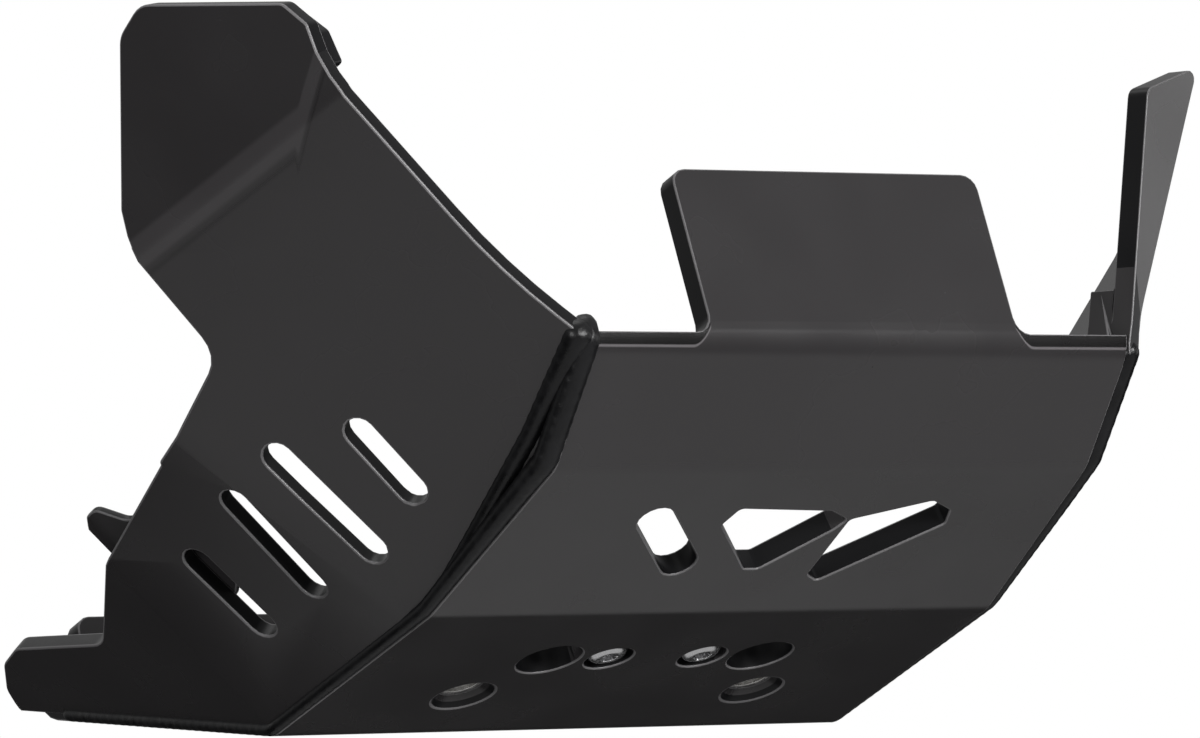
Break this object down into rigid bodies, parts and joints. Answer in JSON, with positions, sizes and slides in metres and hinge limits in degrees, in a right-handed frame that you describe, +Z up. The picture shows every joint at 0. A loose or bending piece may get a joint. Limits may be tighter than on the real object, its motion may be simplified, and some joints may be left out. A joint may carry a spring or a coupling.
{
  "type": "motorcycle skid plate",
  "caption": "Trough-shaped skid plate of bent plastic sheet with a vented front panel, an upright front tab, a tall slotted side wing and frame bolt holes.",
  "frame": {"origin": "midway between the two countersunk frame bolt holes, on the lower face of the flat bottom", "axes": "+X towards the rider's left, +Y towards the rear of the motorcycle, +Z up"},
  "size_m": [0.2614, 0.278, 0.1298],
  "materials": {
    "black_sheet": "satin",
    "black_weld": "satin",
    "sleeve_steel": "satin",
    "bracket_aluminium": "satin",
    "screw_steel": "bright"
  },
  "bodies": {
    "root": {"center_plate": "black_sheet", "right_wing": "black_sheet", "left_wing": "black_sheet", "right_backing_plate": "black_sheet", "right_rear_ear": "black_sheet", "right_weld_bead": "black_weld", "left_weld_bead": "black_weld", "mount_sleeves": "sleeve_steel", "clamp_bracket": "bracket_aluminium", "clamp_screws": "screw_steel", "clamp_washers": "screw_steel", "clamp_nuts": "screw_steel"}
  },
  "joints": []
}
